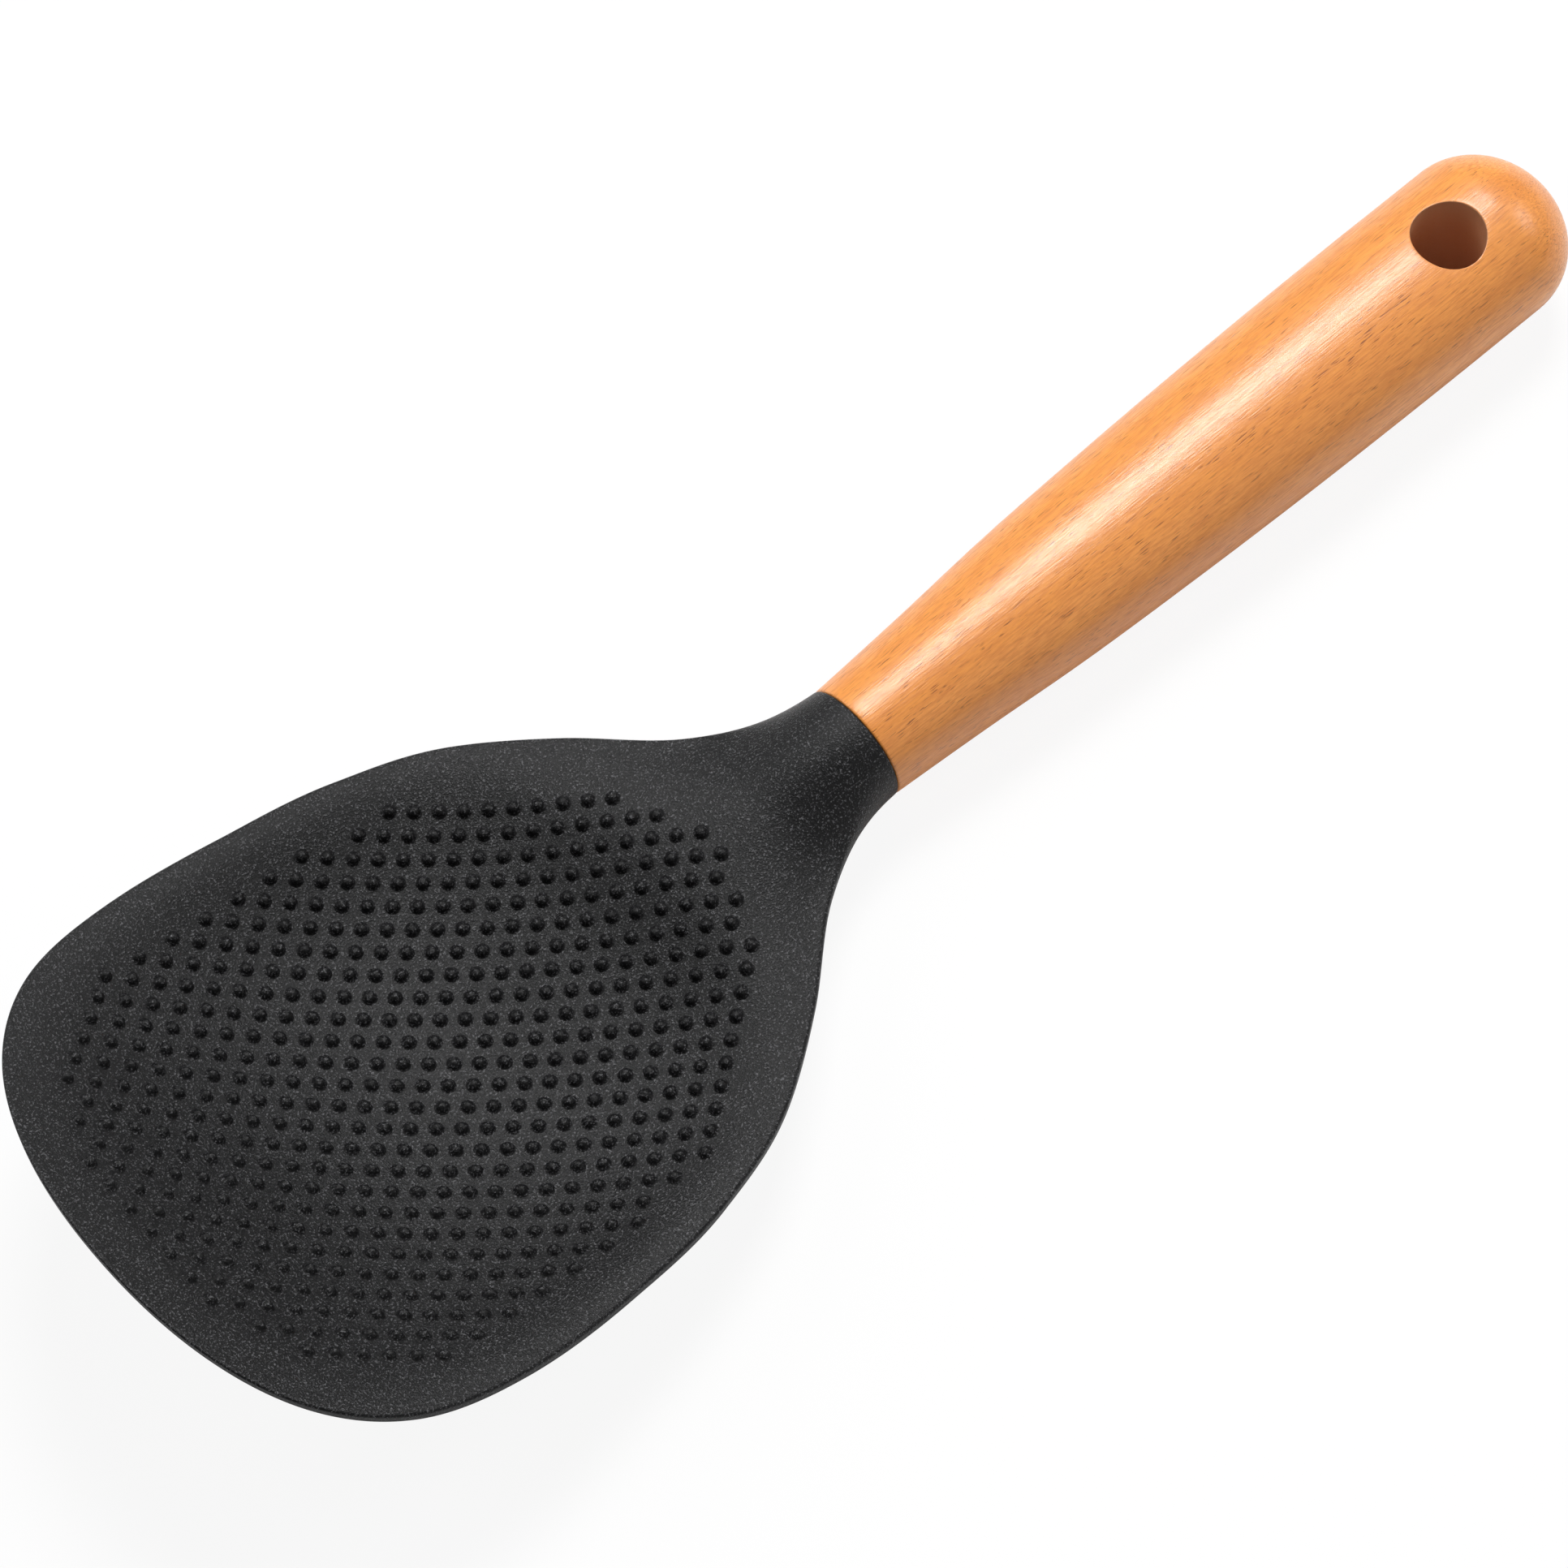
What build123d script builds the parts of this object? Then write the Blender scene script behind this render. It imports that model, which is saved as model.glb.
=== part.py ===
"""Rice paddle: a moulded black nylon head with a field of nubs, on an oval beech handle.

The head and its tang are one moulding. The tang sits in a blind bore in the handle,
in a bed of cured glue. Millimetres. The handle's axis is level, +X runs from the head
to the handle's end, the dish opens towards +Z and XZ is the plane of symmetry. z = 0 is
under the handle's belly and x = 0 is midway along the paddle.
"""

from build123d import *
from math import cos, radians, sin, sqrt
import os

os.makedirs("parts", exist_ok=True)

# Head, from its tip to the collar's end face
blade_length = 123.0
blade_half_width = 41.6
wall = 2.3
collar_radius = 8.55
collar_side = 0.25            # half height of what is left of the blade's sides at the collar
rim_blend = 1.2               # how softly the dish rolls over into the flat rim
collar_blend_share = 0.15     # how far the collar's roundness reaches into the blade

# Outline from above: (place from the collar to the tip, half width)
outline_shares = (
    (0.060, 0.238), (0.140, 0.357), (0.240, 0.610), (0.340, 0.813),
    (0.460, 0.937), (0.600, 0.993), (0.740, 1.000), (0.860, 0.918), (0.940, 0.708),
    (0.985, 0.398), (1.000, 0.000),
)

# Middle line of the edge in side view, above the handle's axis
edge_tip_rise = 27.65
edge_shares = (
    (0.00, 0.000), (0.12, 0.034), (0.25, 0.076), (0.37, 0.128), (0.50, 0.211),
    (0.63, 0.337), (0.75, 0.495), (0.86, 0.677), (0.94, 0.840), (1.00, 1.000),
)

# Dish: its height above the handle's axis is dish_rise times a sum of share * a**i * b**j,
# where a and b run from -1 to 1 over the dish's half length and half span
dish_centre_share = 0.495935  # of the blade's length, as is the next
dish_half_length_share = 0.4406504
dish_side_margin = 0.2
dish_rise = 18.6
dish_shares = {
    (0, 0): -0.011, (1, 0): -0.148, (2, 0): 1.0, (3, 0): -0.016, (4, 0): 0.124,
    (0, 2): 0.347, (1, 2): -0.142, (2, 2): -0.376, (0, 4): 0.177,
}

# Neck: spine above the rim plane and below it, of the collar's radius
spine_shares = (
    (0.00, 0.66, 0.66), (0.06, 0.60, 0.60), (0.14, 0.44, 0.42), (0.21, 0.26, 0.24),
    (0.28, 0.08, 0.10), (0.35, 0.00, 0.03), (0.42, 0.00, 0.00), (1.00, 0.00, 0.00),
)

# Nubs: a lattice of small three-sided points on the dish. Each row gives its first and last
# step along the paddle, in half pitches, for the half pitches 0, 1, 2... to either side.
# The margins are from the collar, the tip and the blade's side to the nearest nubs
nub_collar_margin = 25.19
nub_tip_margin = 7.335
nub_side_margin = 8.025
nub_radius = 1.15
nub_height = 0.95
nub_root = 0.3                # how far a nub reaches into the wall
nub_sides = 3
nub_rows = (
    (-19, 15), (-18, 16), (-19, 15), (-18, 14), (-19, 15), (-18, 14), (-19, 13), (-18, 14),
    (-17, 13), (-18, 12), (-17, 11), (-16, 10), (-17, 9), (-16, 8), (-15, 7), (-14, 6),
    (-13, 5), (-12, 0),
)

# Tang and glue
tang_length = 38.0
tang_radius = 4.2
tang_web = 3.0
tang_ring_rise = 0.3
tang_ring_thickness = 1.4
tang_ring_count = 3
glue_film = 0.3
glue_cushion = 1.0
glue_inset = 0.6

# Handle, from its seat to its domed end, with a straight length that the hanging hole
# goes through before the dome
handle_length = 127.0
handle_half_width = 12.7
handle_flatness_share = 0.84
handle_oval_share = 0.45      # where the round seat has become the full oval
handle_shares = ((0.12, 0.752), (0.25, 0.853), (0.40, 0.923), (0.55, 0.969), (0.70, 0.993))
handle_station_shares = (0, 0.05, 0.10, 0.16, 0.22, 0.30, 0.40, 0.55)
handle_cap_length = 11.6
handle_cap_turns = (0, 24, 46, 66, 82)
handle_edge_chamfer = 0.35
bore_room = 3.0               # what the glue leaves free at the bore's end
hole_radius = 5.25
hole_edge_chamfer = 0.5
hole_cap_clearance = 1.85     # from the hole's chamfer to the dome
hole_straight_clearance = 0.45

# The dish and the lattice of nubs follow the blade
dish_centre = -dish_centre_share * blade_length
dish_half_length = dish_half_length_share * blade_length
dish_half_span = blade_half_width - dish_side_margin
nub_first_step = min(first for first, last in nub_rows)
nub_last_step = max(last for first, last in nub_rows)
nub_half_pitch_along = (blade_length - nub_tip_margin - nub_collar_margin) / (
    nub_last_step - nub_first_step
)
nub_half_pitch_across = (blade_half_width - nub_side_margin) / (len(nub_rows) - 1)
nub_field_x = -nub_collar_margin - nub_last_step * nub_half_pitch_along

# The bore follows the tang, and the hole and its straight length follow the dome
tang_ring_radius = tang_radius + tang_ring_rise
bore_radius = tang_ring_radius + glue_film
bore_depth = tang_length + glue_cushion + bore_room
hole_from_end = handle_cap_length + hole_cap_clearance + hole_edge_chamfer + hole_radius
straight_length = hole_from_end - handle_cap_length + (
    hole_radius + hole_edge_chamfer + hole_straight_clearance
)
cap_start = 1 - handle_cap_length / handle_length
straight_start = cap_start - straight_length / handle_length

# The seat is where the head meets the handle, on the handle's axis
seat_x = (blade_length - handle_length) / 2
axis_height = handle_half_width * handle_flatness_share
seat = Plane((seat_x, 0, axis_height), x_dir=(0, 1, 0), z_dir=(1, 0, 0))

# Where the head's sections lie, as the root of what is left to the tip, and where each
# section's points lie across it
station_roots = (
    1.000, 0.985, 0.962, 0.933, 0.900, 0.866, 0.830, 0.787, 0.735, 0.670, 0.600, 0.530,
    0.460, 0.390, 0.320, 0.255, 0.195, 0.140, 0.090, 0.050, 0.022,
)
across_shares = (
    -0.97, -0.93, -0.88, -0.80, -0.66, -0.46, -0.23, 0.0,
    0.23, 0.46, 0.66, 0.80, 0.88, 0.93, 0.97,
)


def along(shares, place, column=1):
    """Value at a place in a table of shares, on a smooth curve through its rows."""
    count = len(shares)
    gaps = [shares[i + 1][0] - shares[i][0] for i in range(count - 1)]
    grades = [(shares[i + 1][column] - shares[i][column]) / gaps[i] for i in range(count - 1)]
    slopes = [
        (grades[i - 1] * gaps[i] + grades[i] * gaps[i - 1]) / (gaps[i - 1] + gaps[i])
        for i in range(1, count - 1)
    ]
    slopes = [2 * grades[0] - slopes[0]] + slopes + [2 * grades[-1] - slopes[-1]]
    i = max(k for k in range(count - 1) if shares[k][0] <= place or k == 0)
    t = (place - shares[i][0]) / gaps[i]
    return (
        shares[i][column] * (1 + 2 * t) * (1 - t) ** 2
        + shares[i + 1][column] * t**2 * (3 - 2 * t)
        + gaps[i] * (slopes[i] * t * (1 - t) ** 2 - slopes[i + 1] * t**2 * (1 - t))
    )


def half_width(place):
    """Half width of the outline. The tip is blunt, so the curve runs over the root."""
    rows = [(0, collar_radius / blade_half_width), *outline_shares]
    roots = [(-sqrt(1 - p), w) for p, w in rows]
    return blade_half_width * along(roots, -sqrt(max(1 - place, 0)))


def smoothstep(t):
    t = min(max(t, 0), 1)
    return t * t * (3 - 2 * t)


def dish_height(x, y):
    a = (x - dish_centre) / dish_half_length
    b = y / dish_half_span
    return dish_rise * sum(share * a**i * b**j for (i, j), share in dish_shares.items())


def upper_and_lower(place, y):
    """Heights of the head's two surfaces over a point, from the dish, the rim and the neck."""
    x = -place * blade_length
    wide = half_width(place)
    middle = edge_tip_rise * along(edge_shares, place)
    roundness = 1 - smoothstep(place / collar_blend_share)
    rim = middle + wall / 2
    dish = dish_height(x, y)
    flat = (dish + rim - sqrt((dish - rim) ** 2 + rim_blend**2)) / 2
    t = min(abs(y) / wide, 1)
    bell = (1 - t * t) ** 2
    up = flat + collar_radius * along(spine_shares, place, 1) * bell
    down = flat - wall - collar_radius * along(spine_shares, place, 2) * bell
    circle = collar_radius * sqrt(1 - t * t)
    up += (middle + circle - up) * roundness
    down += (middle - circle - down) * roundness
    return up, down


def head_section(place):
    """One closed section across the head, with upright sides that fade out at the collar."""
    wide = half_width(place)
    middle = edge_tip_rise * along(edge_shares, place)
    roundness = 1 - smoothstep(place / collar_blend_share)
    side = wall / 2 + (collar_side - wall / 2) * roundness
    ys = [wide * share for share in across_shares]
    surfaces = [upper_and_lower(place, y) for y in ys]
    with BuildSketch(seat.offset(-place * blade_length)) as section:
        with BuildLine():
            top = [(y, up) for y, (up, _) in zip(ys, surfaces)]
            low = [(y, down) for y, (_, down) in zip(ys, surfaces)]
            Spline((-wide, middle + side), *top, (wide, middle + side))
            Line((wide, middle + side), (wide, middle - side))
            Spline((wide, middle - side), *reversed(low), (-wide, middle - side))
            Line((-wide, middle - side), (-wide, middle + side))
        make_face()
    return section.sketch


def nub():
    """A pointed nub at the origin, its root below z = 0."""
    spread = nub_radius * (nub_height + nub_root) / nub_height
    turns = [radians(360 * n / nub_sides) for n in range(nub_sides)]
    foot = [Vector(spread * cos(turn), spread * sin(turn), -nub_root) for turn in turns]
    crown = Vector(0, 0, nub_height)
    sides = [Face(Wire.make_polygon([foot[n - 1], foot[n], crown])) for n in range(nub_sides)]
    return Solid(Shell([*sides, Face(Wire.make_polygon(foot))]))


def dish_plane(x, y):
    """A plane that lies on the dish at a point, with x from the seat."""
    step = nub_radius / 5
    heights = [
        upper_and_lower(-at_x / blade_length, at_y)[0]
        for at_x, at_y in ((x, y), (x + step, y), (x - step, y), (x, y + step), (x, y - step))
    ]
    slope_x = (heights[1] - heights[2]) / (2 * step)
    slope_y = (heights[3] - heights[4]) / (2 * step)
    return Plane((seat_x + x, y, axis_height + heights[0]), z_dir=(-slope_x, -slope_y, 1))


nub_places = [
    dish_plane(nub_field_x + m * nub_half_pitch_along, side * n * nub_half_pitch_across)
    for n, (first, last) in enumerate(nub_rows)
    for side in ((1, -1) if n else (1,))
    for m in range(first, last + 1, 2)
]

# Head: the lofted blade and neck, the cross-shaped tang with its rings, and the nubs
ring_pitch = (tang_length - tang_ring_thickness) / tang_ring_count
with BuildPart() as head:
    loft([head_section(1 - root**2) for root in station_roots], ruled=True)
    with BuildSketch(seat):
        Circle(tang_radius)
        with BuildSketch(mode=Mode.INTERSECT):
            Rectangle(2 * tang_radius, tang_web)
            Rectangle(tang_web, 2 * tang_radius)
    extrude(amount=tang_length)
    ring_places = [(n + 1) * ring_pitch for n in range(tang_ring_count)]
    with BuildSketch(*[seat.offset(x) for x in ring_places]):
        Circle(tang_ring_radius)
    extrude(amount=tang_ring_thickness)
    with Locations(*nub_places):
        add(nub())
head.part.label = "head"


# Handle: ovals of four arcs along the axis, from the round seat to the domed end
def handle_section(place, half_width_share):
    roundness = max(1 - place / handle_oval_share, 0) ** 2
    wide = handle_half_width * half_width_share
    thick = wide * (roundness + handle_flatness_share * (1 - roundness))
    slant = sqrt(wide**2 + thick**2)
    crown_radius = (slant + wide - thick) * slant / (2 * thick)
    y = crown_radius * thick / slant
    z = crown_radius * wide / slant - (crown_radius - thick)
    with BuildSketch(seat.offset(place * handle_length)) as section:
        with BuildLine():
            ThreePointArc((y, z), (0, thick), (-y, z))
            ThreePointArc((-y, z), (-wide, 0), (-y, -z))
            ThreePointArc((-y, -z), (0, -thick), (y, -z))
            ThreePointArc((y, -z), (wide, 0), (y, z))
        make_face()
    return section.sketch


handle_rows = ((0, collar_radius / handle_half_width), *handle_shares, (straight_start, 1))
body_sections = [
    handle_section(place, along(handle_rows, place))
    for place in (*handle_station_shares, straight_start)
]
cap_sections = [
    handle_section(cap_start + (1 - cap_start) * sin(turn), cos(turn))
    for turn in map(radians, handle_cap_turns)
]

hole_x = seat_x + handle_length - hole_from_end
with BuildPart() as handle:
    loft(body_sections, ruled=True)
    chamfer(handle.edges().group_by(Axis.X)[0], handle_edge_chamfer)
    extrude(body_sections[-1], amount=straight_length)
    loft(cap_sections, ruled=True)
    with BuildSketch(seat):
        Circle(bore_radius)
    extrude(amount=bore_depth, mode=Mode.SUBTRACT)
    with BuildSketch(Plane((hole_x, 0, axis_height))):
        Circle(hole_radius)
    extrude(amount=handle_half_width, both=True, mode=Mode.SUBTRACT)
    rims = handle.edges(Select.LAST).filter_by(lambda edge: edge.is_closed)
    chamfer(rims, hole_edge_chamfer)
handle.part.label = "handle"

# Glue: fills the bore round the tang, from just inside its mouth to past the tang's tip
with BuildPart() as tang_glue:
    with BuildSketch(seat.offset(glue_inset)):
        Circle(bore_radius)
    extrude(amount=tang_length + glue_cushion - glue_inset)
    add(head.part, mode=Mode.SUBTRACT)
tang_glue.part.label = "tang_glue"

export_step(head.part, "parts/head.step")
export_step(handle.part, "parts/handle.step")
export_step(tang_glue.part, "parts/tang_glue.step")
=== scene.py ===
"""Rice paddle with a nubbed black nylon head on a lacquered beech handle."""

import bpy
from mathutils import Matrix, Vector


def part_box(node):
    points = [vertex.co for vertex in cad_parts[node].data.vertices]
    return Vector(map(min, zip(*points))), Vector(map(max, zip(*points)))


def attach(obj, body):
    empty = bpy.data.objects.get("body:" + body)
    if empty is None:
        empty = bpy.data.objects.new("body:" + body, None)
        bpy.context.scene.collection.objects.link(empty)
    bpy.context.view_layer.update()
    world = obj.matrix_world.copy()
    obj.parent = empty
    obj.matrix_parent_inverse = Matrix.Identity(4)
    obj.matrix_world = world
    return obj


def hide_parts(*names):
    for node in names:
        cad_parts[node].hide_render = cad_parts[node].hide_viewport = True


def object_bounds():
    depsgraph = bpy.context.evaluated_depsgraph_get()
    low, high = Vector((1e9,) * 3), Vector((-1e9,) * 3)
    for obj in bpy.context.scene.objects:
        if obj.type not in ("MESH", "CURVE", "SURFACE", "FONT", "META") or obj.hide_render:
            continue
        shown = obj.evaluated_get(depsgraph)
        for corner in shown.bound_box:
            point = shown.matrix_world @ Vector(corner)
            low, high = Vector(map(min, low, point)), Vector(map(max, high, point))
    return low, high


bl_info = {
    "name": "Rice Paddle",
    "version": (1, 0, 0),
    "blender": (4, 5, 0),
    "location": "View3D > Sidebar > Paddle",
    "description": "Models the finished surfaces of a nylon and beech rice paddle",
    "category": "Add Mesh",
}

from math import atan2, cos, pi, radians, sin, sqrt

import bmesh
import bpy
import numpy as np
from bpy.props import FloatProperty, FloatVectorProperty, IntProperty, PointerProperty
from mathutils import Matrix, Vector

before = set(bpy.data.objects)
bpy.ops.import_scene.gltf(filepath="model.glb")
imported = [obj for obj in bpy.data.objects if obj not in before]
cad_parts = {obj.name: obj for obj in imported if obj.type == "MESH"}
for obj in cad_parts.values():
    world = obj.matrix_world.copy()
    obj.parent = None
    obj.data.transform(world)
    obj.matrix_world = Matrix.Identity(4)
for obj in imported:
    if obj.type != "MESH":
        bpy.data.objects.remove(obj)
cad_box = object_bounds()
handle_low, handle_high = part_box("handle")

MM = 0.001
MICRON = MM * MM
SEAT = Vector((handle_low[0], 0, (handle_low[2] + handle_high[2]) / 2))

# Head: outline from above, as (place from the collar to the tip, share of the half width)
OUTLINE_SHARES = (
    (0.060, 0.238), (0.140, 0.357), (0.240, 0.610), (0.340, 0.813), (0.460, 0.937),
    (0.600, 0.993), (0.740, 1.000), (0.860, 0.918), (0.940, 0.708), (0.985, 0.398),
    (1.000, 0.000),
)

# Head: middle line of the edge in side view, as shares of the tip's rise
EDGE_SHARES = (
    (0.00, 0.000), (0.12, 0.034), (0.25, 0.076), (0.37, 0.128), (0.50, 0.211),
    (0.63, 0.337), (0.75, 0.495), (0.86, 0.677), (0.94, 0.840), (1.00, 1.000),
)

# Head: dish, as shares of its rise for each power along and across
DISH_SHARES = {
    (0, 0): -0.011, (1, 0): -0.148, (2, 0): 1.0, (3, 0): -0.016, (4, 0): 0.124,
    (0, 2): 0.347, (1, 2): -0.142, (2, 2): -0.376, (0, 4): 0.177,
}

# Head: spine of the neck above and below the rim, as shares of the collar's radius
SPINE_TOP_SHARES = (
    (0.00, 0.66), (0.06, 0.60), (0.14, 0.44), (0.21, 0.26), (0.28, 0.08), (0.35, 0.00),
    (0.42, 0.00), (1.00, 0.00),
)
SPINE_BACK_SHARES = (
    (0.00, 0.66), (0.06, 0.60), (0.14, 0.42), (0.21, 0.24), (0.28, 0.10), (0.35, 0.03),
    (0.42, 0.00), (1.00, 0.00),
)

# Nubs: first and last step along the paddle, for each half step to either side
NUB_ROWS = (
    (-19, 15), (-18, 16), (-19, 15), (-18, 14), (-19, 15), (-18, 14), (-19, 13), (-18, 14),
    (-17, 13), (-18, 12), (-17, 11), (-16, 10), (-17, 9), (-16, 8), (-15, 7), (-14, 6),
    (-13, 5), (-12, 0),
)

# Nubs: side view of one, as (radius, height) shares, from its crown to its foot
NUB_PROFILE = (
    (0.27, 0.965), (0.54, 0.840), (0.77, 0.580), (0.94, 0.280), (1.07, 0.090), (1.30, -0.030),
)

# Handle: oval along its length, as shares of its half width
HANDLE_SHARES = (
    (0.12, 0.752), (0.25, 0.853), (0.40, 0.923), (0.55, 0.969), (0.70, 0.993), (0.80, 1.000),
)

# Lamps: name, place from the aim by the camera's right, up and back, side, and power
LAMPS = (
    ("key", 0.05, 1.15, 0.8, 0.5, 18),
    ("fill", 1.1, -0.4, 1.2, 1.2, 3),
    ("side", -1.2, 0.8, 0.7, 1.0, 8),
    ("sheen", 1.0, 0.8, 0.6, 0.4, 4),
)


def length(name, default, description):
    return FloatProperty(
        name=name, description=description, default=default * MM, subtype="DISTANCE", unit="LENGTH"
    )


def colour(name, default, description):
    return FloatVectorProperty(
        name=name, description=description, default=default, size=3, min=0, max=1, subtype="COLOR"
    )


def share(name, default, description):
    return FloatProperty(
        name=name, description=description, default=default, min=0, max=1, subtype="FACTOR"
    )


def angle(name, default, description):
    return FloatProperty(
        name=name, description=description, default=radians(default), subtype="ANGLE"
    )


class PaddleHeadSettings(bpy.types.PropertyGroup):
    blade_length: length("Blade length", 123.0, "From the collar's end face to the tip")
    half_width: length("Half width", 41.6, "From the middle to the blade's widest place")
    wall: length("Wall", 2.3, "Thickness of the blade")
    edge_round: length("Edge round", 0.55, "Round along the blade's upper and lower edges")
    tip_rise: length("Tip rise", 27.65, "Height of the tip over the handle's axis")
    dish_centre: length("Dish centre", -61.0, "Deepest place of the dish, from the seat")
    dish_half_length: length("Dish half length", 54.2, "Half of the dish's length")
    dish_half_span: length("Dish half span", 41.4, "Half of the dish's span")
    dish_rise: length("Dish rise", 18.6, "How far the dish rises towards its ends")
    rim_blend: length("Rim blend", 1.2, "How softly the dish rolls over into the rim")
    collar_radius: length("Collar radius", 8.55, "Radius of the round collar at the seat")
    collar_round: length("Collar round", 0.35, "Round of the collar's end edge")
    collar_reach: share("Collar reach", 0.15, "How far its roundness reaches into the blade")
    tang_length: length("Tang length", 38.0, "Length of the tang inside the handle")
    tang_radius: length("Tang radius", 4.2, "Radius of the tang's webs")
    tang_ring_rise: length("Ring rise", 0.3, "How far the tang's rings stand over its webs")
    tang_web: length("Tang web", 3.0, "Thickness of the tang's crossed webs")
    tang_ring: length("Tang ring", 1.4, "Thickness of each of the tang's rings")


class PaddleNubSettings(bpy.types.PropertyGroup):
    origin: length("Origin", -66.55, "Place of the field's middle nub, from the seat")
    pitch_along: length("Pitch along", 5.17, "Distance between nubs along the paddle")
    pitch_across: length("Pitch across", 3.95, "Distance between nubs across the paddle")
    radius: length("Radius", 0.88, "Radius of a nub at its foot")
    height: length("Height", 0.95, "Height of a nub over the dish")
    sides: IntProperty(name="Sides", description="Points round a nub", default=16, min=6)


class PaddleHandleSettings(bpy.types.PropertyGroup):
    handle_length: length("Handle length", 127.0, "From the seat to the domed end")
    half_width: length("Half width", 12.7, "Half of the oval's greater width")
    flatness: share("Flatness", 0.84, "Thickness of the oval, of its width")
    oval_reach: share("Oval reach", 0.45, "Where the round seat has become the full oval")
    cap_length: length("Cap length", 11.6, "Length of the domed end")
    edge_round: length("Seat round", 0.35, "Round of the wood's edge at the seat")
    bore_radius: length("Bore radius", 4.8, "Radius of the blind bore for the tang")
    bore_depth: length("Bore depth", 42.0, "Depth of the blind bore")
    hole_radius: length("Hole radius", 5.25, "Radius of the hanging hole")
    hole_from_end: length("Hole from end", 19.2, "From the handle's end to the hole's middle")
    hole_round: length("Hole round", 0.2, "Round of the hole's rims")


class PaddleFinishSettings(bpy.types.PropertyGroup):
    nylon: colour("Nylon", (0.004, 0.004, 0.0044), "Colour of the moulded head")
    # Painted glint: the light grey put on the texture's peaks stands in for light sparkling off the
    # mould texture.
    nylon_painted_glint: colour("Nylon peaks", (0.110, 0.110, 0.116), "Colour of its texture's peaks")
    beech: colour("Beech", (0.87, 0.340, 0.070), "Main colour of the lacquered wood")
    beech_dark: colour("Beech late wood", (0.60, 0.190, 0.035), "Colour of its darker bands")
    beech_pore: colour("Beech pores", (0.24, 0.070, 0.016), "Colour of its short pores")
    hole_wall: colour("Hole wall", (0.60, 0.31, 0.17), "Colour of the bare wood in the hole")
    glue: colour("Glue", (0.60, 0.46, 0.22), "Colour of the cured glue round the tang")


class PaddleStageSettings(bpy.types.PropertyGroup):
    azimuth: angle("Azimuth", -130.616, "Direction from the paddle to the camera")
    elevation: angle("Elevation", 65.8025, "Height of the camera over the floor")
    roll: angle("Roll", -0.749, "Turn of the camera about its view")
    distance: length("Distance", 680.49, "From the aim to the camera")
    aim: FloatVectorProperty(
        name="Aim", description="Point in the middle of the picture", size=3,
        default=(-13.081 * MM, 1.790 * MM, 10.668 * MM), subtype="TRANSLATION", unit="LENGTH",
    )
    lens: FloatProperty(name="Lens", description="Focal length", default=118.503, min=1)
    floor_size: length("Floor size", 6000.0, "Side of the square floor")
    floor_white: share("Floor white", 0.90, "How much of the floor's look is plain white")
    floor: colour("Floor", (0.90, 0.90, 0.90), "Colour of the floor")


def through(rows, places):
    """Values at places on a smooth curve through rows of (place, value)."""
    knots = np.array([row[0] for row in rows], float)
    values = np.array([row[1] for row in rows], float)
    gaps = np.diff(knots)
    grades = np.diff(values) / gaps
    inner = (grades[:-1] * gaps[1:] + grades[1:] * gaps[:-1]) / (gaps[:-1] + gaps[1:])
    slopes = np.concatenate(
        ([2 * grades[0] - inner[0]], inner, [2 * grades[-1] - inner[-1]])
    )
    places = np.asarray(places, float)
    i = np.clip(np.searchsorted(knots, places, "right") - 1, 0, len(gaps) - 1)
    t = (places - knots[i]) / gaps[i]
    return (
        values[i] * (1 + 2 * t) * (1 - t) ** 2
        + values[i + 1] * t**2 * (3 - 2 * t)
        + gaps[i] * (slopes[i] * t * (1 - t) ** 2 - slopes[i + 1] * t**2 * (1 - t))
    )


def smoothstep(t):
    t = np.clip(t, 0, 1)
    return t * t * (3 - 2 * t)


def blade_half_width(head, place):
    """Half width of the blade's outline. The tip is blunt, so the curve runs over the root."""
    rows = [(0, head.collar_radius / head.half_width), *OUTLINE_SHARES]
    roots = [(-sqrt(1 - at), wide) for at, wide in rows]
    return head.half_width * through(roots, -np.sqrt(np.clip(1 - place, 0, 1)))


def blade_surfaces(head, x, y):
    """Heights of the blade's two surfaces, from the dish, the rim and the neck."""
    place = -x / head.blade_length
    wide = np.maximum(blade_half_width(head, place), MICRON)
    middle = head.tip_rise * through(EDGE_SHARES, place)
    roundness = 1 - smoothstep(place / head.collar_reach)
    rim = middle + head.wall / 2
    a = (x - head.dish_centre) / head.dish_half_length
    b = y / head.dish_half_span
    dish = head.dish_rise * sum(part * a**i * b**j for (i, j), part in DISH_SHARES.items())
    flat = (dish + rim - np.sqrt((dish - rim) ** 2 + head.rim_blend**2)) / 2
    t = np.minimum(np.abs(y) / wide, 1)
    bell = (1 - t * t) ** 2
    circle = head.collar_radius * np.sqrt(1 - t * t)
    top = flat + head.collar_radius * through(SPINE_TOP_SHARES, place) * bell
    back = flat - head.wall - head.collar_radius * through(SPINE_BACK_SHARES, place) * bell
    top += (middle + circle - top) * roundness
    back += (middle - circle - back) * roundness
    return top, back


def dish_height(head, x, y):
    return blade_surfaces(head, x, y)[0]


def loft_faces(loops, points, first=0):
    """Quads between neighbouring closed loops of the same number of points."""
    faces = []
    for i in range(loops - 1):
        for j in range(points):
            k = (j + 1) % points
            a, b = first + i * points, first + (i + 1) * points
            faces.append((a + j, a + k, b + k, b + j))
    return faces


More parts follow.
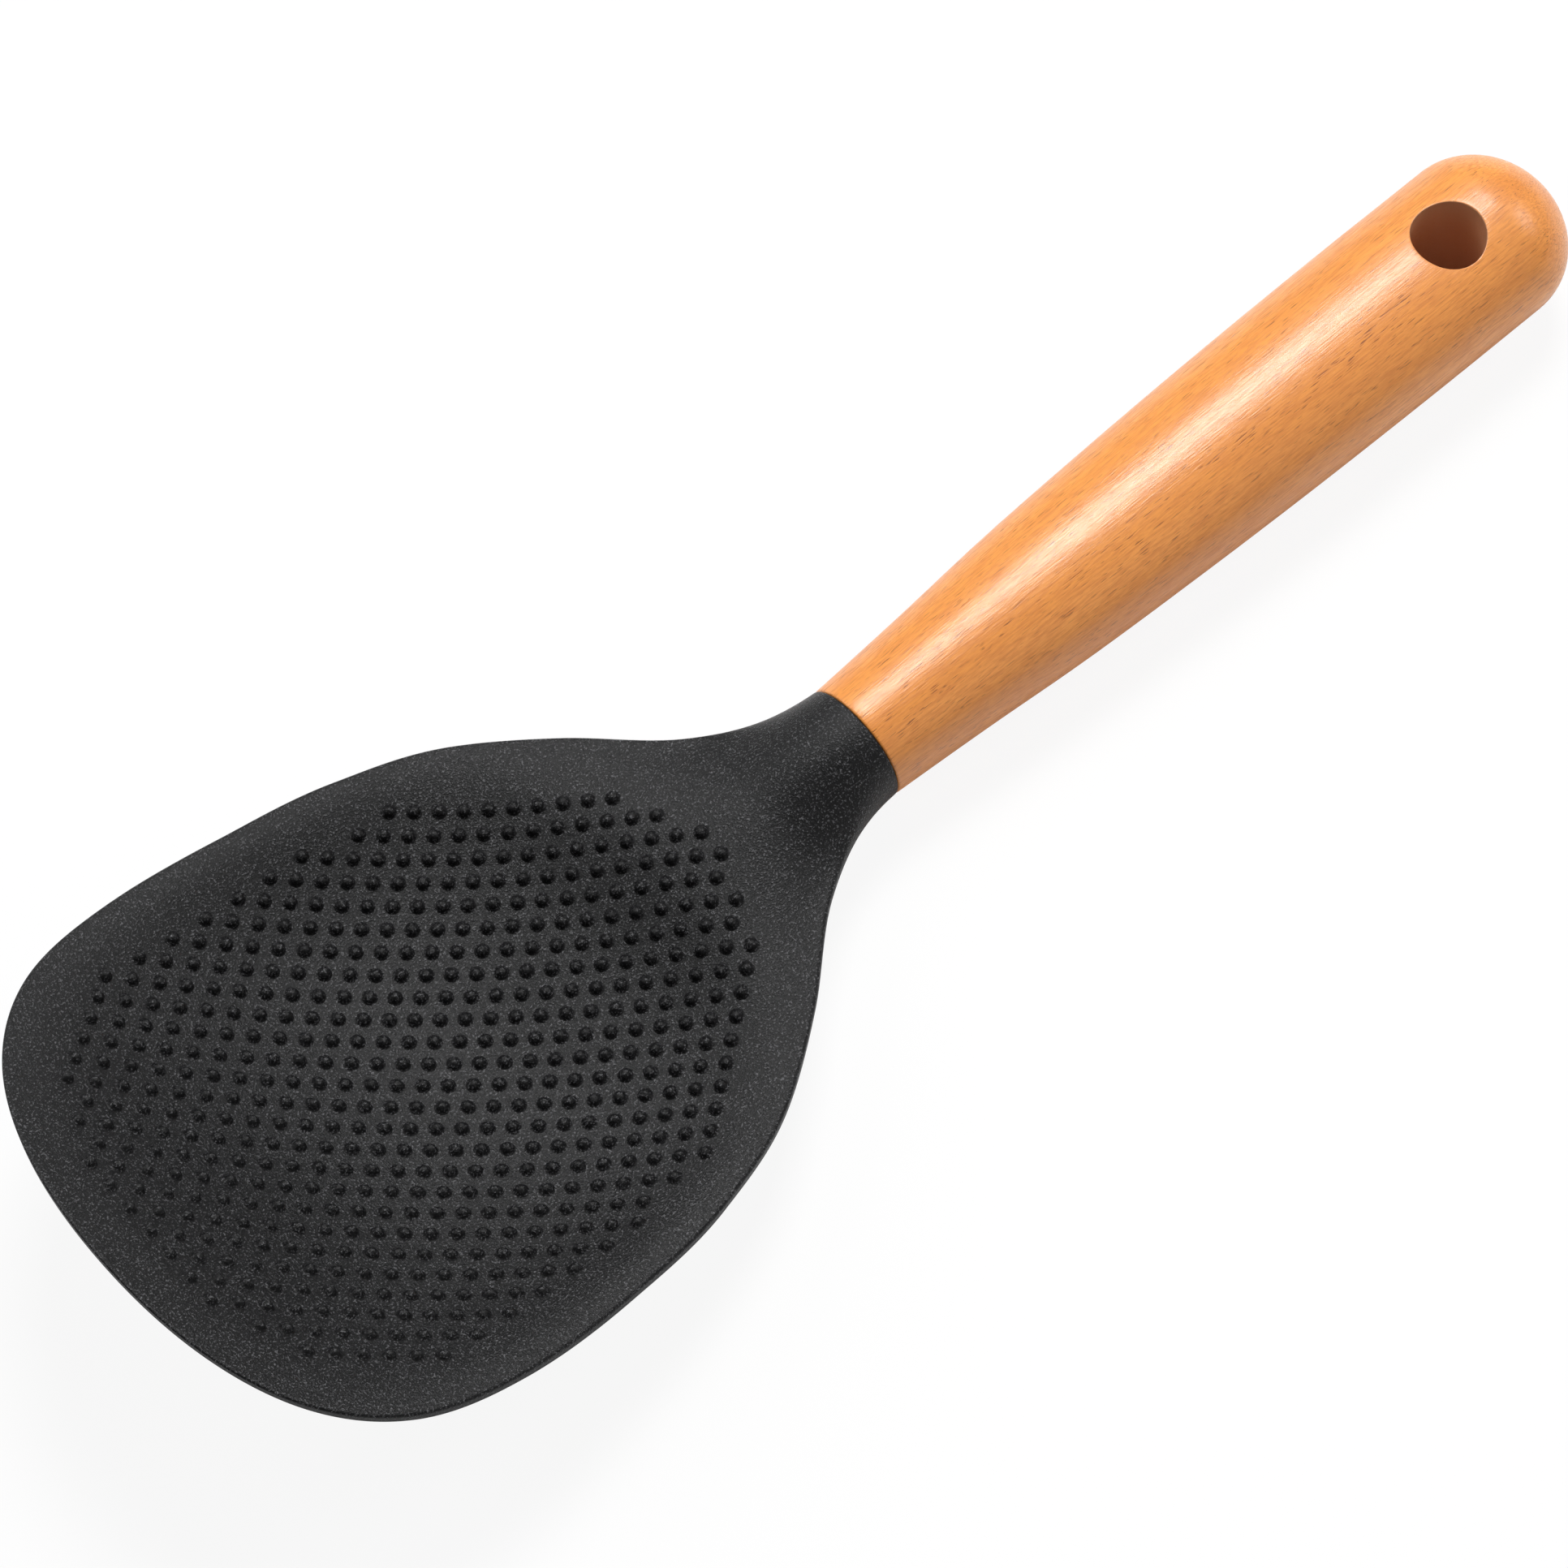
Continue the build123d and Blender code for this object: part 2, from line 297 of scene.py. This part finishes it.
def finished_mesh(name, parts, node, material):
    """One mesh object from (vertices, faces, smooth) parts, in place of a node of the frame."""
    vertices, faces, smooth = [], [], []
    for part_vertices, part_faces, part_smooth in parts:
        first = len(vertices)
        vertices.extend(tuple(SEAT + Vector(v)) for v in part_vertices)
        faces.extend(tuple(first + i for i in face) for face in part_faces)
        smooth.extend([part_smooth] * len(part_faces))
    mesh = bpy.data.meshes.new(name)
    mesh.from_pydata(vertices, [], faces)
    mesh.polygons.foreach_set("use_smooth", smooth)
    work = bmesh.new()
    work.from_mesh(mesh)
    bmesh.ops.remove_doubles(work, verts=work.verts, dist=MICRON)
    bmesh.ops.dissolve_degenerate(work, dist=MICRON / 10, edges=work.edges)
    bmesh.ops.recalc_face_normals(work, faces=work.faces)
    work.to_mesh(mesh)
    work.free()
    mesh.materials.append(material)
    piece = bpy.data.objects.new(name, mesh)
    bpy.context.scene.collection.objects.link(piece)
    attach(piece, "root")
    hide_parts(node)
    return piece


def fan(head, place, x, wide):
    """Directions and distances from the outline to the spine, which fans out at the tip."""
    fan_place, fan_pull, least_squareness = 0.55, 0.51, 0.4
    reach = np.clip((place - fan_place) / (1 - fan_place), 0, 1)
    spine = np.where(
        place < fan_place, x,
        -head.blade_length * (fan_place + (1 - fan_place) * (reach - fan_pull * reach**2)),
    )
    run = np.hypot(spine - x, wide)
    inward = np.stack([spine - x, -wide], 1) / run[:, None]
    normal = np.stack([-np.gradient(wide), np.gradient(x)], 1)
    normal /= np.linalg.norm(normal, axis=1)[:, None]
    squareness = np.clip(np.abs((normal * inward).sum(1)), least_squareness, 1)
    return inward, run, squareness


def collar_rings(head, loop, turns):
    """The round of the collar's end edge, from the seat up to the blade's first loop."""
    rings = []
    for turn in turns[:-1]:
        shrink = 1 - head.collar_round * (1 - sin(turn)) / head.collar_radius
        ring = loop * [0, shrink, shrink]
        ring[:, 0] = -head.collar_round * (1 - cos(turn))
        rings.append(ring)
    return rings


def blade_rows(head, x, wide, inward, depths, drops):
    """Rows of points on the blade's two surfaces, from the outline to the spine."""
    top, back = [], []
    for depth, drop in zip(depths, drops):
        px = x + inward[:, 0] * depth
        py = np.maximum(wide + inward[:, 1] * depth, 0)
        up, down = blade_surfaces(head, px, py)
        top.append(np.stack([px, py, up - drop], 1))
        back.append(np.stack([px, py, down + drop], 1))
    return top, back


def blade_part(head):
    """The blade, neck and collar, as loops that turn from the collar to the tip."""
    station_count, across_count, round_steps, wall_steps, crowding = 210, 30, 5, 4, 1.35
    roots = np.linspace(sqrt(1 - head.collar_round / head.blade_length), 0, station_count)
    place = 1 - roots**2
    wide = blade_half_width(head, place)
    wide[-1] = 0
    x = -place * head.blade_length
    inward, run, squareness = fan(head, place, x, wide)

    # First the round of the edge, then the face up to the spine
    roundness = 1 - smoothstep(place / head.collar_reach)
    edge_round = head.edge_round * (1 - roundness)
    turns = np.linspace(0, pi / 2, round_steps + 1)
    depths = [edge_round * (1 - cos(turn)) / squareness for turn in turns]
    drops = [edge_round * (1 - sin(turn)) for turn in turns]
    least = depths[-1]
    for k in range(1, across_count + 1):
        depths.append(least + (run - least) * (k / across_count) ** crowding)
        drops.append(np.zeros(station_count))
    top, back = blade_rows(head, x, wide, inward, depths, drops)

    # Round one side's wall, along the back, round the other wall and along the top
    mirrored = np.array([1, -1, 1])
    loop = [*top[::-1]]
    for k in range(1, wall_steps):
        loop.append(top[0] + (back[0] - top[0]) * k / wall_steps)
    loop += back
    loop += [points * mirrored for points in back[-2::-1]]
    for k in range(1, wall_steps):
        loop.append((back[0] + (top[0] - back[0]) * k / wall_steps) * mirrored)
    loop += [points * mirrored for points in top[:-1]]
    loops = np.stack(loop, 1)
    loops[-1, :, 1] = 0
    points = loops.shape[1]
    loops = np.concatenate([np.stack(collar_rings(head, loops[0], turns)), loops])
    faces = loft_faces(len(loops), points)
    faces.append(tuple(range(points)))
    return loops.reshape(-1, 3), faces, True


def prism_part(outline, x_low, x_high):
    """A straight length along the handle's axis with flat ends."""
    points = len(outline)
    vertices = [(x, y, z) for x in (x_low, x_high) for y, z in outline]
    faces = loft_faces(2, points)
    faces.append(tuple(range(points)))
    faces.append(tuple(range(points, 2 * points)))
    return vertices, faces, False


def arc_points(radius, first, last, steps):
    """Points (y, z) along an arc round the handle's axis."""
    turns = [first + (last - first) * k / steps for k in range(steps + 1)]
    return [(radius * cos(turn), radius * sin(turn)) for turn in turns]


def tang_parts(head):
    """The tang: two crossed webs with three rings along them."""
    ring_count, ring_points, arc_steps = 3, 40, 4
    half_web = head.tang_web / 2
    corner = half_web * sqrt(2)
    lean = atan2(half_web, sqrt(head.tang_radius**2 - half_web**2))
    cross = []
    for arm in range(4):
        middle = arm * pi / 2
        cross += arc_points(head.tang_radius, middle - lean, middle + lean, arc_steps)
        cross.append((corner * cos(middle + pi / 4), corner * sin(middle + pi / 4)))
    ring = arc_points(head.tang_radius + head.tang_ring_rise, 0, 2 * pi, ring_points)[:-1]
    pitch = (head.tang_length - head.tang_ring) / ring_count
    parts = [prism_part(cross, -head.collar_round, head.tang_length)]
    for n in range(1, ring_count + 1):
        parts.append(prism_part(ring, n * pitch, n * pitch + head.tang_ring))
    return parts


def nub_part(head, nubs):
    """All the nubs, each standing square on the dish where its place in the lattice is."""
    x, y = [], []
    for n, (first, last) in enumerate(NUB_ROWS):
        for side in (1, -1) if n else (1,):
            for m in range(first, last + 1, 2):
                x.append(nubs.origin + m * nubs.pitch_along / 2)
                y.append(side * n * nubs.pitch_across / 2)
    x, y = np.array(x), np.array(y)
    step = 0.2 * MM
    slope_x = (dish_height(head, x + step, y) - dish_height(head, x - step, y)) / (2 * step)
    slope_y = (dish_height(head, x, y + step) - dish_height(head, x, y - step)) / (2 * step)
    normal = np.stack([-slope_x, -slope_y, np.ones_like(x)], 1)
    normal /= np.linalg.norm(normal, axis=1)[:, None]
    along = np.stack([np.ones_like(x), np.zeros_like(x), slope_x], 1)
    along /= np.linalg.norm(along, axis=1)[:, None]
    across = np.cross(normal, along)
    centre = np.stack([x, y, dish_height(head, x, y)], 1)
    rings = [centre[:, None, :] + normal[:, None, :] * nubs.height]
    turns = np.arange(nubs.sides) * 2 * pi / nubs.sides
    for radius_share, height_share in NUB_PROFILE:
        ring = centre[:, None, :] + nubs.radius * radius_share * (
            along[:, None, :] * np.cos(turns)[None, :, None]
            + across[:, None, :] * np.sin(turns)[None, :, None]
        )
        ring[:, :, 2] = dish_height(head, ring[:, :, 0], ring[:, :, 1])
        ring += normal[:, None, :] * nubs.height * height_share
        rings.append(ring)
    points = np.concatenate(rings, 1)
    count = points.shape[1]
    faces = []
    for nub in range(len(points)):
        first = nub * count
        faces += [
            (first, first + 1 + k, first + 1 + (k + 1) % nubs.sides) for k in range(nubs.sides)
        ]
        faces += loft_faces(len(NUB_PROFILE), nubs.sides, first + 1)
    return points.reshape(-1, 3), faces, True


def handle_oval(handle, head, x):
    """Half width and half thickness of the handle's oval."""
    place = np.asarray(x) / handle.handle_length
    cap_start = handle.handle_length - handle.cap_length
    rows = ((0, head.collar_radius / handle.half_width), *HANDLE_SHARES)
    into_cap = np.clip((x - cap_start) / handle.cap_length, 0, 1)
    swell = through(rows, np.minimum(place, HANDLE_SHARES[-1][0]))
    wide = handle.half_width * swell * np.sqrt(1 - into_cap**2)
    rest = np.clip(1 - place / handle.oval_reach, 0, 1) ** 2
    return wide, wide * (1 - (1 - handle.flatness) * (1 - rest))


def handle_loop(handle, head, x, turns, inset=0):
    """One closed oval of the handle, over the top and back under."""
    wide, thick = handle_oval(handle, head, np.array(float(x)))
    y, z = (wide - inset) * np.sin(turns), (thick - inset) * np.cos(turns)
    over = np.stack([np.full_like(turns, x), y, z], 1)
    under = over[-2:0:-1] * [1, 1, -1]
    return np.concatenate([over, under])


def body_part(handle, head, turns, body_end):
    """From the bore's bottom, out of its mouth, round the seat's edge and along the handle."""
    body_count, round_count = 110, 6
    all_turns = np.concatenate([turns, turns[-2:0:-1]])
    side = np.concatenate([np.ones(len(turns)), -np.ones(len(turns) - 2)])
    circle = np.stack([np.zeros_like(all_turns), np.sin(all_turns), side * np.cos(all_turns)], 1)
    loops = [circle * 0 + [handle.bore_depth, 0, 0]]
    for depth in (handle.bore_depth, handle.bore_depth / 2, 0):
        loops.append(circle * handle.bore_radius + [depth, 0, 0])
    for turn in np.linspace(0, pi / 2, round_count):
        inset = handle.edge_round * (1 - sin(turn))
        at = handle.edge_round * (1 - cos(turn))
        loops.append(handle_loop(handle, head, at, turns, inset))
    for at in np.linspace(handle.edge_round, body_end, body_count)[1:]:
        loops.append(handle_loop(handle, head, at, turns))
    return np.concatenate(loops), loft_faces(len(loops), len(loops[0])), True


def dome_part(handle, head, turns, dome_start):
    """The domed end, from the far side of the hanging hole to the handle's end."""
    dome_count = 22
    cap_start = handle.handle_length - handle.cap_length
    first_turn = np.arcsin((dome_start - cap_start) / handle.cap_length)
    loops = []
    for turn in np.linspace(first_turn, pi / 2, dome_count):
        loops.append(handle_loop(handle, head, cap_start + handle.cap_length * sin(turn), turns))
    return np.concatenate(loops), loft_faces(len(loops), len(loops[0])), True


def hole_parts(handle, head, turns, hole_x, patch):
    """The wood round the hanging hole above and below, and the hole's wall."""
    side_count, patch_rings, round_count, wall_steps = 12, 9, 6, 10
    sides = np.linspace(-patch, patch, side_count + 1)[1:-1]
    outer = [(-patch, turn) for turn in turns] + [(at, pi / 2) for at in sides]
    outer += [(patch, turn) for turn in turns[::-1]] + [(at, -pi / 2) for at in sides[::-1]]
    outer_x = hole_x + np.array([row[0] for row in outer])
    outer_turn = np.array([row[1] for row in outer])
    wide, _ = handle_oval(handle, head, outer_x)
    bearing = np.arctan2(wide * np.sin(outer_turn), outer_x - hole_x)
    rings = []
    for turn in np.linspace(0, pi / 2, round_count):
        radius = handle.hole_radius + handle.hole_round * (1 - cos(turn))
        ring_x, ring_y = hole_x + radius * np.cos(bearing), radius * np.sin(bearing)
        wide, thick = handle_oval(handle, head, ring_x)
        height = thick * np.sqrt(1 - (ring_y / wide) ** 2) - handle.hole_round * (1 - sin(turn))
        rings.append(np.stack([ring_x, ring_y, height], 1))
    ring_turn = np.arcsin(ring_y / wide)
    for k in range(1, patch_rings + 1):
        out = k / patch_rings
        at = ring_x + (outer_x - ring_x) * out
        turn = ring_turn + (outer_turn - ring_turn) * out
        wide, thick = handle_oval(handle, head, at)
        rings.append(np.stack([at, wide * np.sin(turn), thick * np.cos(turn)], 1))
    top = np.stack(rings)
    under = top * [1, 1, -1]
    faces = loft_faces(len(rings), len(outer))
    wall = [top[0] + (under[0] - top[0]) * k / wall_steps for k in range(wall_steps + 1)]
    wall_faces = loft_faces(len(wall), len(outer))
    return [
        (top.reshape(-1, 3), faces, True),
        (under.reshape(-1, 3), faces, True),
        (np.concatenate(wall), wall_faces, True),
    ]


def handle_parts(handle, head):
    """The handle: its bore and body, its domed end, and the wood round the hanging hole."""
    half_count, patch_share = 60, 1.7
    hole_x = handle.handle_length - handle.hole_from_end
    patch = patch_share * handle.hole_radius
    turns = np.linspace(-pi / 2, pi / 2, half_count + 1)
    return [
        body_part(handle, head, turns, hole_x - patch),
        dome_part(handle, head, turns, hole_x + patch),
        *hole_parts(handle, head, turns, hole_x, patch),
    ]


def node(tree, kind, inputs=None, **settings):
    """A new shader node, with its settings, and its inputs from values or sockets."""
    made = tree.nodes.new(kind)
    for key, value in settings.items():
        setattr(made, key, value)
    for key, value in (inputs or {}).items():
        if isinstance(value, bpy.types.NodeSocket):
            tree.links.new(value, made.inputs[key])
        else:
            made.inputs[key].default_value = value
    return made


def new_material(name):
    """An empty material with a Principled shader, and its node tree."""
    material = bpy.data.materials.new(name)
    material.use_nodes = True
    tree = material.node_tree
    return material, tree, tree.nodes["Principled BSDF"]


def stretched_noise(tree, place, scale, **inputs):
    """Noise over the object's own coordinates, with a scale per metre for each axis."""
    mapping = node(tree, "ShaderNodeMapping", {"Vector": place, "Scale": scale})
    values = {"Vector": mapping.outputs["Vector"], "Scale": 1.0, **inputs}
    return node(tree, "ShaderNodeTexNoise", values).outputs["Fac"]


def ramp(tree, factor, low, high, low_value=0.0, high_value=1.0):
    """A factor spread from low to high over two values."""
    return node(
        tree, "ShaderNodeMapRange",
        {
            "Value": factor, "From Min": low, "From Max": high, "To Min": low_value,
            "To Max": high_value,
        },
    ).outputs["Result"]


def mixed(tree, factor, first, second):
    """A colour between two others."""
    made = node(tree, "ShaderNodeMix", data_type="RGBA")
    tree.links.new(factor, made.inputs["Factor"])
    for socket, value in zip((made.inputs[6], made.inputs[7]), (first, second)):
        if isinstance(value, bpy.types.NodeSocket):
            tree.links.new(value, socket)
        else:
            socket.default_value = (*value, 1)
    return made.outputs[2]


def nylon_material(finish):
    """Matte black nylon with a finely eroded mould texture, with painted glints of light grey on
    the texture's peaks.
    """
    material, tree, shader = new_material("black_nylon")
    place = node(tree, "ShaderNodeTexCoord").outputs["Object"]
    grain = stretched_noise(tree, place, (5200, 5200, 5200), Detail=1.0, Roughness=0.6)
    coarse = stretched_noise(tree, place, (3500, 3500, 3500), Detail=2.0, Roughness=0.7)
    cloud = stretched_noise(tree, place, (45, 45, 45), Detail=2.0)
    # Painted glints: the peaks of the coarse noise get a light grey in the base colour, in place of
    # sparkle from the light.
    painted_glint_mask = ramp(tree, coarse, 0.56, 0.69)
    tree.links.new(mixed(tree, painted_glint_mask, finish.nylon, finish.nylon_painted_glint), shader.inputs["Base Color"])
    rough = ramp(tree, cloud, 0.3, 0.7, 0.37, 0.44)
    tree.links.new(rough, shader.inputs["Roughness"])
    shader.inputs["Specular IOR Level"].default_value = 0.23
    fine = node(
        tree, "ShaderNodeBump", {"Height": grain, "Strength": 0.5, "Distance": 0.05 * MM}
    ).outputs["Normal"]
    bumps = node(
        tree, "ShaderNodeBump",
        {"Height": coarse, "Strength": 0.9, "Distance": 0.15 * MM, "Normal": fine},
    )
    tree.links.new(bumps.outputs["Normal"], shader.inputs["Normal"])
    return material


def beech_material(finish, handle):
    """Lacquered beech, with soft bands, fine fibres and short dark pores along the grain."""
    material, tree, shader = new_material("lacquered_beech")
    place = node(tree, "ShaderNodeTexCoord").outputs["Object"]
    bands = stretched_noise(tree, place, (9, 130, 130), Detail=3.0, Distortion=0.4)
    fibres = stretched_noise(tree, place, (260, 4200, 4200), Detail=3.0, Roughness=0.6)
    mottle = stretched_noise(tree, place, (900, 3200, 3200), Detail=2.0)
    pores = stretched_noise(tree, place, (430, 5600, 5600), Detail=1.0)
    clusters = stretched_noise(tree, place, (60, 420, 420), Detail=2.0)
    tone = mixed(tree, ramp(tree, bands, 0.35, 0.75, 0, 0.55), finish.beech, finish.beech_dark)
    tone = mixed(tree, ramp(tree, fibres, 0.40, 0.66, 0, 0.75), tone, finish.beech_dark)
    tone = mixed(tree, ramp(tree, mottle, 0.50, 0.80, 0, 0.40), tone, finish.beech_dark)
    dense = ramp(tree, clusters, 0.40, 0.65, 0.40, 0.95)
    short = node(
        tree, "ShaderNodeMath", {0: ramp(tree, pores, 0.62, 0.72), 1: dense}, operation="MULTIPLY"
    )
    tone = mixed(tree, short.outputs[0], tone, finish.beech_pore)

    axis_x = SEAT.x + handle.handle_length - handle.hole_from_end
    out = node(tree, "ShaderNodeVectorMath", {0: place, 1: (axis_x, 0, 0)}, operation="SUBTRACT")
    flat = node(
        tree, "ShaderNodeVectorMath", {0: out.outputs[0], 1: (1, 1, 0)}, operation="MULTIPLY"
    )
    reach = node(tree, "ShaderNodeVectorMath", {0: flat.outputs[0]}, operation="LENGTH")
    edge = handle.hole_radius + handle.hole_round / 4
    inside = ramp(tree, reach.outputs["Value"], edge, edge + handle.hole_round / 4, 1, 0)
    tone = mixed(tree, inside, tone, finish.hole_wall)
    tree.links.new(tone, shader.inputs["Base Color"])
    tree.links.new(ramp(tree, fibres, 0.3, 0.7, 0.34, 0.56), shader.inputs["Roughness"])
    tree.links.new(ramp(tree, inside, 0, 1, 0.36, 0.05), shader.inputs["Coat Weight"])
    shader.inputs["Coat Roughness"].default_value = 0.18
    fine = node(
        tree, "ShaderNodeBump",
        {"Height": fibres, "Strength": 0.7, "Distance": 0.05 * MM},
    ).outputs["Normal"]
    dents = node(
        tree, "ShaderNodeBump",
        {"Height": pores, "Strength": 0.3, "Distance": 0.06 * MM, "Normal": fine}, invert=True,
    )
    tree.links.new(dents.outputs["Normal"], shader.inputs["Normal"])
    tree.links.new(fine, shader.inputs["Coat Normal"])
    return material


def glue_material(finish):
    """Cured amber glue, slightly cloudy."""
    material, tree, shader = new_material("cured_glue")
    place = node(tree, "ShaderNodeTexCoord").outputs["Object"]
    cloud = stretched_noise(tree, place, (300, 300, 300), Detail=2.0)
    clouding = 1.25
    pale = tuple(min(1, clouding * value) for value in finish.glue)
    tree.links.new(mixed(tree, cloud, finish.glue, pale), shader.inputs["Base Color"])
    shader.inputs["Roughness"].default_value = 0.3
    return material


def floor_material(stage):
    """Pale floor that the camera sees as white, and that keeps the paddle's shadow."""
    material, tree, shader = new_material("pale_floor")
    place = node(tree, "ShaderNodeTexCoord").outputs["Object"]
    cloud = stretched_noise(tree, place, (3, 3, 3), Detail=1.0)
    clouding = 1.03
    pale = tuple(min(1, clouding * value) for value in stage.floor)
    tree.links.new(mixed(tree, cloud, stage.floor, pale), shader.inputs["Base Color"])
    shader.inputs["Roughness"].default_value = 0.9
    white = node(tree, "ShaderNodeEmission", {"Color": (1, 1, 1, 1), "Strength": 1.0})
    rays = node(tree, "ShaderNodeLightPath")
    seen = node(
        tree, "ShaderNodeMath",
        {0: rays.outputs["Is Camera Ray"], 1: stage.floor_white}, operation="MULTIPLY",
    )
    both = node(
        tree, "ShaderNodeMixShader",
        {"Fac": seen.outputs[0], 1: shader.outputs["BSDF"], 2: white.outputs["Emission"]},
    )
    tree.links.new(both.outputs[0], tree.nodes["Material Output"].inputs["Surface"])
    return material


def lay_floor(scene, stage):
    """The square floor under the paddle."""
    half = stage.floor_size / 2
    mesh = bpy.data.meshes.new("floor")
    low = cad_box[0][2]
    corners = [(-half, -half, low), (half, -half, low), (half, half, low), (-half, half, low)]
    mesh.from_pydata(corners, [], [(0, 1, 2, 3)])
    mesh.materials.append(floor_material(stage))
    floor = bpy.data.objects.new("floor", mesh)
    scene.collection.objects.link(floor)


def camera_directions(stage):
    """The camera's own right, up and back."""
    view = Vector((
        cos(stage.elevation) * cos(stage.azimuth), cos(stage.elevation) * sin(stage.azimuth),
        sin(stage.elevation),
    ))
    level = view.cross(Vector((0, 0, -1))).normalized()
    upright = view.cross(level)
    right = level * cos(stage.roll) + upright * sin(stage.roll)
    return right, view.cross(right), view


def set_camera(scene, stage, right, up, view):
    """The camera, where the photo was taken from."""
    turn = Matrix((right, up, view)).transposed().to_4x4()
    camera_data = bpy.data.cameras.new("camera")
    camera_data.lens = stage.lens
    camera_data.sensor_width = 36
    camera = bpy.data.objects.new("camera", camera_data)
    camera.matrix_world = Matrix.Translation(Vector(stage.aim) + view * stage.distance) @ turn
    scene.collection.objects.link(camera)
    scene.camera = camera


def hang_lamps(scene, stage, right, up, view):
    """The square lamps, each turned to the aim."""
    for name, across, upwards, out, size, power in LAMPS:
        data = bpy.data.lights.new(name, "AREA")
        data.shape = "SQUARE"
        data.size = size
        data.energy = power
        light = bpy.data.objects.new(name, data)
        away = right * across + up * upwards + view * out
        light.location = Vector(stage.aim) + away
        light.rotation_euler = away.to_track_quat("Z", "Y").to_euler()
        scene.collection.objects.link(light)


def light_sky(scene):
    """A dim sky that the camera sees as white."""
    world = bpy.data.worlds.new("soft_sky")
    scene.world = world
    world.use_nodes = True
    tree = world.node_tree
    rays = node(tree, "ShaderNodeLightPath")
    sky = node(tree, "ShaderNodeBackground", {"Color": (0.8, 0.8, 0.8, 1), "Strength": 0.12})
    white = node(tree, "ShaderNodeBackground", {"Color": (1, 1, 1, 1), "Strength": 1.0})
    both = node(
        tree, "ShaderNodeMixShader",
        {"Fac": rays.outputs["Is Camera Ray"], 1: sky.outputs[0], 2: white.outputs[0]},
    )
    tree.links.new(both.outputs[0], tree.nodes["World Output"].inputs["Surface"])


class PADDLE_OT_head(bpy.types.Operator):
    """Model the nylon head with its nubs and tang"""

    bl_idname = "paddle.head"
    bl_label = "Head"

    def execute(self, context):
        head, nubs = context.scene.paddle_head, context.scene.paddle_nubs
        parts = [blade_part(head), nub_part(head, nubs), *tang_parts(head)]
        material = nylon_material(context.scene.paddle_finish)
        finished_mesh("nylon_head", parts, "head", material)
        return {"FINISHED"}


class PADDLE_OT_handle(bpy.types.Operator):
    """Model the beech handle with its hanging hole"""

    bl_idname = "paddle.handle"
    bl_label = "Handle"

    def execute(self, context):
        handle, head = context.scene.paddle_handle, context.scene.paddle_head
        material = beech_material(context.scene.paddle_finish, handle)
        finished_mesh("beech_handle", handle_parts(handle, head), "handle", material)
        return {"FINISHED"}


class PADDLE_OT_glue(bpy.types.Operator):
    """Give the cured glue its finish"""

    bl_idname = "paddle.glue"
    bl_label = "Glue"

    def execute(self, context):
        material = glue_material(context.scene.paddle_finish)
        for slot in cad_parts["tang_glue"].material_slots:
            slot.material = material
        return {"FINISHED"}


class PADDLE_OT_stage(bpy.types.Operator):
    """Lay the floor and set the lights, the sky and the camera"""

    bl_idname = "paddle.stage"
    bl_label = "Stage"

    def execute(self, context):
        scene, stage = context.scene, context.scene.paddle_stage
        lay_floor(scene, stage)
        directions = camera_directions(stage)
        set_camera(scene, stage, *directions)
        hang_lamps(scene, stage, *directions)
        light_sky(scene)
        scene.view_settings.view_transform = "Standard"
        return {"FINISHED"}


class PADDLE_PT_panel(bpy.types.Panel):
    """Sidebar panel that lists the paddle's pieces"""

    bl_label = "Rice Paddle"
    bl_idname = "PADDLE_PT_panel"
    bl_space_type = "VIEW_3D"
    bl_region_type = "UI"
    bl_category = "Paddle"

    def draw(self, context):
        for operator in (PADDLE_OT_head, PADDLE_OT_handle, PADDLE_OT_glue, PADDLE_OT_stage):
            self.layout.operator(operator.bl_idname)


SETTINGS = {
    "paddle_head": PaddleHeadSettings,
    "paddle_nubs": PaddleNubSettings,
    "paddle_handle": PaddleHandleSettings,
    "paddle_finish": PaddleFinishSettings,
    "paddle_stage": PaddleStageSettings,
}
CLASSES = (PADDLE_OT_head, PADDLE_OT_handle, PADDLE_OT_glue, PADDLE_OT_stage, PADDLE_PT_panel)


def register():
    for name, settings in SETTINGS.items():
        bpy.utils.register_class(settings)
        setattr(bpy.types.Scene, name, PointerProperty(type=settings))
    for cls in CLASSES:
        bpy.utils.register_class(cls)


def unregister():
    for cls in reversed(CLASSES):
        bpy.utils.unregister_class(cls)
    for name, settings in reversed(SETTINGS.items()):
        delattr(bpy.types.Scene, name)
        bpy.utils.unregister_class(settings)


def main():
    register()
    bpy.ops.paddle.head()
    bpy.ops.paddle.handle()
    bpy.ops.paddle.glue()
    bpy.ops.paddle.stage()


if __name__ == "__main__":
    main()
